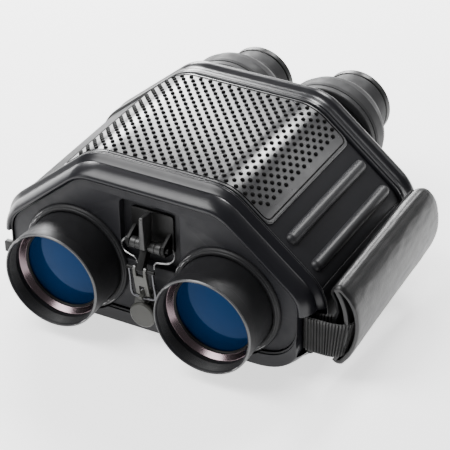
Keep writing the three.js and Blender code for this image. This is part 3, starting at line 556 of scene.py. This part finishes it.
# Distance back from the lip, and how far the surface steps in from the crest.
FRONT_BEZEL = [(1.4, 10.7), (1.1, 9.9), (0.25, 9.6), (0, 9.2), (0, 8.4), (0.25, 7.7), (0.9, 6.95), (2, 6.1),
         (3, 5.5), (4.5, 4.75), (6, 4.15), (7.5, 3.75), (9, 3.5), (9.6, 3.42), (9.9, 3.5), (10.2, 3.35),
         (11, 2.75), (11.8, 1.95), (12.6, 1.15), (13.2, 0.6), (13.7, 0.25), (14.1, 0.03), (14.45, 0.1),
         (14.6, 0.35), (14.75, 0.35), (14.9, 0.1), (15.2, 0), (15.6, 0.04), (15.9, 0.3), (16.1, 0.8),
         (16.15, 1.8)]
REAR_BEZEL = [(2.6, 10.7), (0.6, 9.6), (0.1, 8.8), (0, 7), (0.1, 5.4), (0.5, 3.7), (0.9, 2.6), (1.5, 1.6),
              (2.2, 0.95), (3, 0.45), (3.8, 0.15), (4.6, 0), (5.4, 0.02), (6.2, 0.1), (6.9, 0.3), (7.6, 0.6),
              (8.3, 0.9), (9, 1.15), (9.8, 1.3), (10.6, 1.34), (11.4, 1.2), (12.1, 0.95), (12.7, 0.65), (13.2, 0.4),
              (13.8, 0.16), (14.5, 0.02), (15.2, 0), (16.4, 0.06), (16.55, 0.3), (16.75, 0.3), (16.9, 0.06),
              (17.8, 0.02), (18.3, 0.12), (18.7, 0.45), (18.85, 0.9), (18.9, 1.8)]


def bezel(name, facing):
    lip, shape, inner = (66, FRONT_BEZEL, 49.85) if facing < 0 else (67.4, REAR_BEZEL, 48.5)
    profile = [(facing * (lip - back), inset, inset * 0.25 if inset < 9.5 else inset) for back, inset in shape]
    profile += [(facing * inner, 12.9, 12.9), (facing * 60.1, 12.9, 12.9), (facing * 60.1, 10.75, 10.75)]
    ring = body_ring(name, profile, 16)
    height, width = (27.6, 22) if facing < 0 else (37.6, 16)
    cutters = []
    for sign in (-1, 1):
        xs = sorted((sign * 88.8, sign * 110))
        ys = sorted((facing * 51.5, facing * 70))
        cutters.append(box_cutter(xs, ys, (height - width / 2 - 2.5, height + width / 2 + 2.5)))
        if facing < 0:
            cutters.append(rod("cutter", 33, -80, -63.1, (sign * OBJECTIVE[0], OBJECTIVE[1]), segments=96))
        else:
            cutters.append(rod("cutter", 36.6, 59, 80, (sign * EYE[0], EYE[1]), segments=96))
    if facing < 0:
        cutters.append(rod("cutter", 10.6, -80, -40, (0, 18.3)))
    return cut(ring, *cutters)


stands_in(bezel("front bezel", -1), "front_bezel", sharp=50)
stands_in(bezel("rear bezel", 1), "rear_bezel", sharp=50)

# ---- end panels ------------------------------------------------------------------------------

TRAY = rounded_box(-18.5, 18.5, 44, 82, 4)
TRAY_OUT = rounded_box(-20, 20, 42.5, 83.5, 5.5)
front_holes = [circle(s * OBJECTIVE[0], OBJECTIVE[1], 22.8) for s in (-1, 1)] + [circle(0, 18.3, 10.6)]
front_panel = joined(
    "front panel",
    slab("face", [body_outline(11.0), TRAY, *front_holes], "xz", -63.4, -60.4, 0.35),
    slab("wall", [TRAY_OUT, TRAY], "xz", -62.9, -58.4, 0.2),
    slab("floor", [TRAY_OUT], "xz", -58.6, -57.1, 0.2),
)
stands_in(front_panel, "front_panel")
rear_holes = [circle(s * OBJECTIVE[0], OBJECTIVE[1], 13.8) for s in (-1, 1)] + [circle(0, 74, 4.8)]
stands_in(slab("rear panel", [body_outline(11.0), *rear_holes], "xz", 60.4, 63.4, 0.35), "rear_panel")

# ---- objectives ------------------------------------------------------------------------------

for side, sign in SIDES.items():
    axis = (sign * OBJECTIVE[0], OBJECTIVE[1])
    thread = []
    for k in range(9):
        thread += [(27.25, -90.6 + 0.7 * k, 0.08), (26.95, -90.25 + 0.7 * k, 0.08)]
    barrel = [(27.5, -91.6, 0.2), (27.7, -92, 0.15), (28.3, -92, 0.45), (29, -91.1, 0.6), (29, -85.4, 0.3),
              (28.9, -85, 0.2), (28.2, -63.7, 0.1), (22.5, -63.7, 0.2), (22.5, -56, 0.3), (20.4, -56, 0.2),
              (20.4, -72.7, 0), (25.3, -72.7, 0), (25.3, -77.2, 0.1), (27.2, -77.2, 0.1), (27.2, -83.6, 0.1)]
    stands_in(lathe(f"objective barrel {side}", barrel + thread[::-1], axis, segments=128),
              f"objective_barrel_{side}", sharp=25)
    # A lighter ring round the front rim paints the rim's highlight; partly rubbed paint.
    rim = [(28.1, -92.04, 0.05), (28.5, -92.02, 0.15), (29.03, -91.35, 0.15), (28.8, -91.1, 0.05), (28.1, -91.7, 0)]
    goes_with(lathe(f"worn rim {side}", rim, axis, segments=128), f"objective_barrel_{side}", "worn_edge")
    collar = [(29.05, -66.3, 0.1), (30.2, -66.4, 0.2), (30.8, -66.2, 0.1), (31.0, -65.8, 0.1), (31.4, -65.8, 0.1),
              (31.9, -65.5, 0.2), (32.4, -64.6, 0.3), (32.4, -63.7, 0.1), (29.05, -63.7, 0.1)]
    stands_in(lathe(f"objective collar {side}", collar, axis, segments=128), f"objective_collar_{side}", sharp=25)
    ring = [(24.5, -78.3, 0.1), (24.7, -78.4, 0.1), (26.8, -81.5, 0.2), (27.1, -81.6, 0.1), (27.1, -77.5, 0),
            (24.5, -77.5, 0)]
    stands_in(lathe(f"lens ring {side}", ring, axis, segments=128), f"lens_ring_{side}", sharp=20)
    seat = [(23.2, -78.1, 0.1), (23.8, -78.7, 0.2), (24.4, -78.7, 0.1), (24.4, -77.5, 0), (23.2, -77.5, 0)]
    goes_with(lathe(f"lens seat {side}", seat, axis, segments=128), f"lens_ring_{side}", "black_metal")
    dome = [(0, -78.2, 0)] + [(r, -78.2 + 1.5 * (r / 22.6) ** 2, 0) for r in np.linspace(2, 22.6, 14)]
    lens = dome + [(25, -76.6, 0.1), (25, -73.2, 0.2), (0, -73.2, 0)]
    stands_in(lathe(f"objective lens {side}", lens, axis, closed=False, segments=96), f"objective_lens_{side}")

# ---- eyepieces -------------------------------------------------------------------------------

for side, sign in SIDES.items():
    axis = (sign * EYE[0], EYE[1])
    pivot = (sign * OBJECTIVE[0], OBJECTIVE[1])
    drum = [(16, 66.8, 0.2), (28.2, 66.8, 0.5), (28.2, 80.8, 0.4), (18.2, 80.8, 0.2), (18.2, 100, 0.3), (16, 100, 0.2)]
    housing = joined("eyepiece housing " + side, lathe("drum", drum, axis), rod("arm", 17, 66.8, 80.8, pivot, soft=0.5),
                     rod("boss", 13.5, 56, 68, pivot))
    stands_in(housing, f"eyepiece_housing_{side}")
    boot = [(18.5, 81.1, 0.1), (30.9, 81.1, 0.4), (31.4, 81.7, 0.3), (31.4, 84.8, 0.2), (31.1, 85.05, 0.1),
            (31.1, 85.3, 0.1), (31.55, 85.6, 0.2), (31.9, 87.5, 1.2), (31.9, 94.2, 2.2), (30.2, 99.3, 2.4),
            (26.6, 105, 2.0), (22.3, 109.6, 0.7), (21.7, 110.5, 0.3), (18.5, 110.5, 0.1)]
    stands_in(lathe(f"eyepiece boot {side}", boot, axis, segments=128, steps=6), f"eyepiece_boot_{side}", sharp=28)
    ring = [(14.6, 101, 0), (18, 101, 0), (18, 110.8, 0.05), (20, 110.8, 0.3), (20.4, 111.2, 0.2), (20, 114.8, 1.2),
            (20.5, 122.6, 0.25), (14.6, 122.6, 0)]
    stands_in(lathe(f"diopter ring {side}", ring, axis, segments=128, steps=5), f"diopter_ring_{side}")
    cup = [(14.4, 122.9, 0), (20.5, 122.9, 0.25), (20.9, 123.4, 0.3), (21.2, 126.6, 0.5), (20.4, 127.6, 0.5),
           (18.6, 127.6, 0.5), (17.6, 126.5, 0.4), (16.6, 125.2, 0.5), (14.4, 124.8, 0.2)]
    stands_in(lathe(f"eyecup {side}", cup, axis, segments=128, steps=5), f"eyecup_{side}")
    eye = [(0, 112, 0), (14.3, 112, 0.2), (14.3, 116, 0.3)] + [(r, 117.6 - 1.6 * (r / 14) ** 2, 0)
                                                               for r in np.linspace(13.6, 1, 10)] + [(0, 117.6, 0)]
    stands_in(lathe(f"eye lens {side}", eye, axis, closed=False, segments=96), f"eye_lens_{side}")

button = [(0, 57.5, 0), (6.4, 57.5, 0.3), (6.4, 59.4, 0.3), (4.5, 59.5, 0.1), (4.5, 65.3, 0.7), (2.4, 65.0, 0.6),
          (0, 64.9, 0)]
stands_in(lathe("power button", button, (0, 74), closed=False, segments=64), "power_button")

# ---- latch -----------------------------------------------------------------------------------

PIN = (-66.7, 59.0)
BAIL = (-74.3, 48.0)
BAIL_FOOT = (-72.0, 28.5)


def along_bail(part):
    return (BAIL[0] + (BAIL_FOOT[0] - BAIL[0]) * part, BAIL[1] + (BAIL_FOOT[1] - BAIL[1]) * part)


ear = rounded([(-58.9, 53, 0.5), (-67.7, 55, 1), (-69.9, 59, 1.5), (-68.7, 62, 1), (-58.9, 67, 0.5)])
bracket = joined("latch bracket", block("back", (-13, 13), (-60.4, -58.9), (53, 77), 2, 0.3),
                 slab("ear", [ear, circle(*PIN, 1.6, 24)], "yz", -11.8, -9.8, 0.25),
                 slab("ear", [ear, circle(*PIN, 1.6, 24)], "yz", 9.8, 11.8, 0.25))
stands_in(bracket, "latch_bracket", "black_metal")
stands_in(rod("latch pin", 1.5, -13.5, 13.5, PIN, "x", 0.4), "latch_pin", "black_metal")

fin_side = rounded([(-72.4, 59, 1), (-72.4, 79.4, 1.6), (-61.8, 78, 1.6), (-64.7, 59, 1)])
fin = slab("fin", [fin_side], "yz", -1.75, 1.75, 0.7, 3)
for v in fin.data.vertices:
    v.co.x *= 1.2 - 0.6 * (1000 * v.co.z - 58) / 22
arm_side = rounded([(-69.7, 60, 0.8), (-64.1, 58, 1), (-72.1, 46.8, 1), (-74.3, 46, 0.8), (-76.3, 48, 0.8)])
hub = [(1.6, -9.5, 0.1), (2.9, -9.5, 0.25), (3.2, -9.2, 0.2), (3.2, -6.3, 0.1), (2.9, -6.1, 0.1), (2.9, -5.8, 0.1),
       (3.2, -5.6, 0.1), (3.2, 5.6, 0.1), (2.9, 5.8, 0.1), (2.9, 6.1, 0.1), (3.2, 6.3, 0.1), (3.2, 9.2, 0.2),
       (2.9, 9.5, 0.25), (1.6, 9.5, 0.1)]
hub = lathe("hub", hub, (0, 0), segments=48)
hub.data.transform(Matrix.Translation((0, 0.001 * PIN[0], 0.001 * PIN[1])) @ Matrix.Rotation(-math.pi / 2, 4, "Z"))
stands_in(joined("latch lever", hub, fin), "latch_lever")
goes_with(slab("latch arm", [arm_side, circle(*BAIL, 1.2, 20)], "yz", -2.1, 2.1, 0.4), "latch_lever", "black_metal")
for side, sign in SIDES.items():
    route = [(14.2, -63.8, 58.8), (16.4, -65.5, 55.8), (14.5, -67, 52.4), (9.5, -68.5, 51.4), (6, -69, 50.6),
             (5, -68.5, 46.5)]
    stands_in(wire(f"latch spring {side}", [(sign * x, y, z) for x, y, z in route], 0.6, 12), f"latch_spring_{side}")

stirrup = [(-7.3, 0), (-7.3, 0.45), (-7.3, 0.88), (-6.5, 0.97), (-4.9, 1), (4.9, 1), (6.5, 0.97), (7.3, 0.88),
           (7.3, 0.45), (7.3, 0)]
stands_in(wire("latch bail", [(x, *along_bail(t)) for x, t in stirrup], 0.8, 10), "latch_bail", "dark_steel")
goes_with(rod("bail cross bar", 1.1, -8.6, 8.6, BAIL, "x", 0.35, 24), "latch_bail", "black_metal")
end_y, end_z = along_bail(0.9)
plate_side = rounded([(BAIL[0] - 1.9, BAIL[1] + 0.6, 0.3), (BAIL[0], BAIL[1] + 2.1, 0.8), (BAIL[0] + 1.9, BAIL[1], 0.4),
                      (BAIL[0] + 0.6, BAIL[1] - 1.9, 0.3), (end_y + 0.4, end_z, 0.2), (end_y - 0.6, end_z, 0.2),
                      (BAIL[0] - 1.5, BAIL[1] - 3, 0.4)])
plate = cut(slab("bail plate", [plate_side], "yz", -4.1, 4.1, 0.15), rod("cutter", 1.3, -20, 20, BAIL, "x"),
            box_cutter((-2.4, 2.4), (-82, -68), (44, 54)), box_cutter((-1.7, 1.7), (-82, -68), (20, 37)))
stands_in(soften(plate, 0.12, 2), "bail_plate", "grey_metal")
# Two bright steel strips on the plate's top edges: painted highlight.
for sign in (-1, 1):
    edge = sorted((sign * 2.5, sign * 4.0))
    goes_with(block("plate edge highlight", edge, (BAIL[0] - 1.2, BAIL[0] + 0.8), (BAIL[1] + 1.3, BAIL[1] + 2.2), 0.3, 0.15),
              "bail_plate", "steel")

# ---- battery cap -----------------------------------------------------------------------------

cap = [(0, -75.2, 0), (6.9, -75.2, 0.35), (7.8, -74.5, 0.35), (7.8, -73.4, 0.25), (4.4, -73.4, 0.2), (4.4, -68, 0.3),
       (9.8, -66.5, 0.4), (10, -66.0, 0.2), (10, -63.4, 0.1), (8.6, -63.4, 0.1), (8.6, -58, 0.3), (0, -58, 0)]
cap = joined("battery cap", lathe("turned cap", cap, (0, 18.3), closed=False, segments=96),
             block("web", (-1.15, 1.15), (-70.2, -65), (23.3, 31.2), 0.3, 0.2),
             block("keeper", (-1.15, 1.15), (-76.2, -67), (29.7, 31.2), 0.3, 0.2))
stands_in(cap, "battery_cap", "grey_metal")

# ---- hand strap ------------------------------------------------------------------------------

STRAP_LEAVE = 101.0
PAD_X = 116.5


def clamp(value):
    return min(max(value, 0.0), 1.0)


def mix(a, b, t):
    return a + (b - a) * t


def band_route():
    """The webbing's line in plan, from its tucked front end to its tucked rear end, evenly spaced."""
    bar_x, bar_y, eye = 93.0, 57.0, 2.9
    half = [(104.6, -51.8), (101.5, -53.2), (98.5, -(bar_y - eye - 0.15)), (96, -(bar_y - eye))]
    for k in range(0, 13):
        a = math.pi / 2 + math.pi * k / 12
        half.append((bar_x + eye * math.cos(a), -bar_y + eye * math.sin(a)))
    p = [Vector(q) for q in ((STRAP_LEAVE, -bar_y - eye), (PAD_X - 4, -bar_y - eye), (PAD_X, -bar_y), (PAD_X, -48))]
    for k in range(25):
        t = k / 24
        half.append(tuple((1 - t) ** 3 * p[0] + 3 * t * (1 - t) ** 2 * p[1] + 3 * t * t * (1 - t) * p[2] + t ** 3 * p[3]))
    line = np.array(half + [(PAD_X, 0)] + [(x, -y) for x, y in half[::-1]])
    step = np.hypot(*np.diff(line, axis=0).T)
    distance = np.concatenate([[0], np.cumsum(step)])
    even = np.linspace(0, distance[-1], int(distance[-1] / 0.24))
    return even, np.array([np.interp(even, distance, line[:, 0]), np.interp(even, distance, line[:, 1])]).T


def band_frame(x, y):
    """How far rearward and outward a point of the strap is, and its width there."""
    rearward, outwards = clamp((y + 48) / 96), clamp((x - STRAP_LEAVE) / (PAD_X - STRAP_LEAVE))
    return rearward, outwards, mix(22, 16, rearward)


def webbing():
    distance, line = band_route()
    direction = np.gradient(line, axis=0)
    direction /= np.linalg.norm(direction, axis=1)[:, None]
    across = [(-0.5, 0)] + [(t, 1) for t in np.linspace(-0.47, 0.47, 13)] + [(0.5, 0)]
    across += [(t, -1) for t in np.linspace(0.47, -0.47, 13)]
    points = []
    for s, (x, y), (dx, dy) in zip(distance, line, direction):
        rearward, outwards, width = band_frame(x, y)
        rib = 0.85 * abs(math.sin(math.pi * s / 1.75)) ** 0.7
        for t, face in across:
            part = t + 0.5
            lean = mix(mix(-4.4, -2.5, rearward), mix(0, -3.8, rearward), part) * outwards
            thick = (0.2 + rib) * face
            z = 27.6 + 10 * rearward + t * width
            points.append((x + dy * thick + lean, y - dx * thick, z))
    columns = len(across)
    faces = grid_faces(len(distance), columns, False, True)
    faces += [tuple(range(columns)), tuple(range(len(points) - columns, len(points)))[::-1]]
    return outward(mesh_piece("strap webbing", points, faces)), distance[-1]


web, web_length = webbing()
stands_in(web, "strap_webbing", sharp=40)
for end, y, z, width in (("front", -57, 27.6, 22), ("rear", 57, 37.6, 16)):
    for side, sign in SIDES.items():
        reach = width / 2 + 4
        pin = rod("pin", 1.6, z - reach + 1.2, z + reach - 1.2, (sign * 93, y), "z", 0.4, 32)
        pieces = [pin]
        if sign < 0:
            pieces.append(block("lug", (-99.6, -93), (y - 1.6, y + 1.6), (z - 7.6, z - 0.6), 0.6, 0.3))
        stands_in(joined(f"strap bar {end} {side}", *pieces), f"strap_bar_{end}_{side}", "black_metal")

# ---- pad -------------------------------------------------------------------------------------

PAD_STATIONS = [(0, 0.93), (0.005, 0.965), (0.02, 0.995), (0.05, 1), (0.3, 1), (0.55, 1), (0.8, 1), (0.92, 0.97),
                (0.955, 0.93), (0.98, 0.86), (0.993, 0.78), (1, 0.7)]


def bezier(points, count):
    """Points along a quadratic or cubic curve, without its end."""
    p = [Vector(q) for q in points]
    line = []
    for k in range(count):
        t = k / count
        q = p
        while len(q) > 1:
            q = [a.lerp(b, t) for a, b in zip(q, q[1:])]
        line.append(tuple(q[0]))
    return line


def pad_section():
    """The pad's closed section as (x, z): over the top roll, down its face, round its foot, up its back."""
    return (bezier([(105.5, 59), (107.4, 61.4), (110.4, 61.2), (112, 59)], 20)
            + bezier([(112, 59), (123, 51), (125, 27), (111, 11)], 52)
            + bezier([(111, 11), (107, 9), (105, 12)], 14)
            + bezier([(105, 12), (114, 26), (115, 46), (105.5, 59)], 46))


def pad_point(x, z, rearward, size):
    drop = (59 - z) / 49
    x += rearward * (7.2 * drop - 0.8 - 21.6 * drop * (1 - drop))
    z += rearward * (3.6 + 14 * drop)
    centre = mix(36, 44, rearward)
    return 115 + (x - 115) * size, centre + (z - centre) * size


def pad():
    from mathutils import noise
    base = np.array(pad_section())
    tangent = np.roll(base, -1, 0) - np.roll(base, 1, 0)
    tangent /= np.linalg.norm(tangent, axis=1)[:, None]
    inward = np.array([-tangent[:, 1], tangent[:, 0]]).T
    if (inward[30] @ (np.array([111, 36]) - base[30])) < 0:
        inward = -inward
    steps, sizes = zip(*PAD_STATIONS)
    spans = np.concatenate([np.linspace(0, 0.05, 9), np.linspace(0.05, 0.92, 78)[1:], np.linspace(0.92, 1, 16)[1:]])
    rows = []
    for depth in (9.0, 6.0, 3.0, 1.0, 0.3):
        rows.append((depth / 110, np.interp(depth / 110, steps, sizes), 2.3))
    rows.append((0.0005, 0.955, 1.9))
    rows.append((-0.0012, 0.95, 1.2))
    rows.append((-0.0006, 0.95, 0.4))
    rows += [(r, np.interp(r, steps, sizes), 0.0) for r in spans]
    points = []
    for rearward, size, sunk in rows:
        share = clamp(rearward)
        y = mix(-57, 53, rearward)
        for (x, z), (nx, nz) in zip(base, inward):
            px, pz = pad_point(x + nx * sunk, z + nz * sunk, share, size)
            if sunk == 0:
                ripple = noise.noise((px * 0.35, y * 0.12, pz * 0.35)) * 0.14
                crease = noise.noise((px * 1.1, y * 0.45, pz * 1.1)) * 0.04
                px, pz = px - nx * (ripple + crease), pz - nz * (ripple + crease)
            points.append((px, y, pz))
    columns = len(base)
    faces = grid_faces(len(rows), columns, False, True)
    for ring, flip in ((0, False), (len(rows) - 1, True)):
        loop = list(range(ring * columns, (ring + 1) * columns))
        centre = len(points)
        points.append(tuple(np.mean([points[i] for i in loop], axis=0)))
        faces += [(loop[i], loop[(i + 1) % columns], centre)[::-1 if flip else 1] for i in range(columns)]
    return outward(mesh_piece("strap pad", points, faces))


strap_pad = stands_in(pad(), "strap_pad", sharp=70)


LINING_LINE = rounded([(106.2, 59, 0), (104.4, 55.5, 2.5), (107, 50, 4), (107.8, 44.5, 4), (106.2, 38, 4),
                       (106.6, 29, 0)], closed=False, steps=8)


def lining():
    """The pad's inner layer: a thin flap that hangs from the roll in a shallow S, down to the webbing; its near-black
    sheet also paints the shade between the body and the pad.
    """
    spine = np.array(LINING_LINE)
    tangent = np.gradient(spine, axis=0)
    tangent /= np.linalg.norm(tangent, axis=1)[:, None]
    normal = np.array([-tangent[:, 1], tangent[:, 0]]).T
    loop = np.vstack([spine + 0.8 * normal, (spine - 0.8 * normal)[::-1]])
    rows = [(-56.4, 0.8)] + [(y, 1.0) for y in np.linspace(-56.0, 44, 60)]
    points = []
    for y, size in rows:
        rearward = (y + 57) / 110
        middle = np.vstack([spine, spine[::-1]])
        for x, z in middle + (loop - middle) * size:
            ripple = 0.35 * math.sin(y * 0.19) * clamp((59 - z) / 12)
            px, pz = pad_point(x + ripple, z, rearward, 1.0)
            points.append((px, y, pz))
    columns = len(loop)
    faces = grid_faces(len(rows), columns, False, True)
    faces += [tuple(range(columns)), tuple(range(len(points) - columns, len(points)))[::-1]]
    return outward(mesh_piece("pad lining", points, faces))


def filling_and_shade():
    """The soft filling between the pad's inner layer and its back, set back from the open front; its near-black colour
    also paints the shade inside the pad.
    """
    behind = bezier([(109, 27), (114, 32), (114.4, 46), (107, 57)], 16)
    loop = [tuple(q) for q in LINING_LINE[6:]] + behind
    rows = [(-49.5, 0.8), (-48.5, 0.94), (-47, 1.0)] + list(zip(np.linspace(-45, 43, 45), [1.0] * 45))
    middle = np.mean(loop, axis=0)
    points = []
    for y, size in rows:
        for x, z in loop:
            px, pz = pad_point(mix(middle[0], x, size), mix(middle[1], z, size), (y + 57) / 110, 1.0)
            points.append((px, y, pz))
    columns = len(loop)
    faces = grid_faces(len(rows), columns, False, True)
    faces += [tuple(range(columns)), tuple(range(len(points) - columns, len(points)))[::-1]]
    return outward(mesh_piece("pad foam", points, faces))


# The flap and filling are near-black: partly the pad's inner layer, partly painted shade inside the pad.
goes_with(lining(), "strap_pad", "lining", 60)
goes_with(filling_and_shade(), "strap_pad", "lining", 50)

# ---- stage, lights and camera ----------------------------------------------------------------


def paper():
    mat = bpy.data.materials.new("paper")
    mat.use_nodes = True
    shader = mat.node_tree.nodes["Principled BSDF"]
    shader.inputs["Base Color"].default_value = (0.92, 0.92, 0.92, 1)
    shader.inputs["Roughness"].default_value = 0.8
    shader.inputs["Specular IOR Level"].default_value = 0.1
    shader.inputs["Emission Color"].default_value = (1, 1, 1, 1)
    shader.inputs["Emission Strength"].default_value = 1.5
    return mat


floor = mesh_piece("floor", [(-4000, -4000, -0.6), (4000, -4000, -0.6), (4000, 4000, -0.6), (-4000, 4000, -0.6)],
                   [(0, 1, 2, 3)])
floor.data.materials.append(paper())


def softbox(name, direction, distance, size, power, aim=(0, 0, 0.05)):
    light = bpy.data.lights.new(name, "AREA")
    light.shape = "RECTANGLE"
    light.size, light.size_y = size
    light.energy = power
    obj = bpy.data.objects.new(name, light)
    bpy.context.scene.collection.objects.link(obj)
    back = Vector(direction).normalized()
    obj.location = Vector(aim) + back * distance
    obj.rotation_euler = back.to_track_quat("Z", "Y").to_euler()
    return obj


softbox("key", (-0.59, 0.705, 0.37), 1.2, (0.46, 0.46), 28)
softbox("back", (0.03, 0.73, 0.68), 1.2, (0.24, 0.3), 13)
softbox("overhead", (-0.43, -0.30, 0.85), 1.3, (0.8, 0.8), 28)
softbox("front left", (-0.8, -0.75, 0.35), 1.3, (0.4, 0.6), 3)
softbox("back right", (0.50, 0.73, 0.45), 1.3, (0.4, 0.3), 1.5)

world = bpy.context.scene.world or bpy.data.worlds.new("World")
bpy.context.scene.world = world
world.use_nodes = True
world.node_tree.nodes["Background"].inputs["Color"].default_value = (1, 1, 1, 1)
world.node_tree.nodes["Background"].inputs["Strength"].default_value = 0.16

r2 = Vector((0.87779, 0.47876, -0.01520))
u2 = Vector((-0.25043, 0.48575, 0.83745))
back = Vector((0.40834, -0.73131, 0.54630))
camera_data = bpy.data.cameras.new("camera")
camera_data.lens = 163.1
camera_data.sensor_width = 36
camera_data.clip_end = 20
camera = bpy.data.objects.new("camera", camera_data)
bpy.context.scene.collection.objects.link(camera)
turn = Matrix((r2, u2, back)).transposed().to_4x4()
place = Vector((0, -0.092, 0.0365)) + 0.029 * (37.28 * back + 1.84 * r2 + 1.45 * u2)
camera.matrix_world = Matrix.Translation(place) @ turn
bpy.context.scene.camera = camera
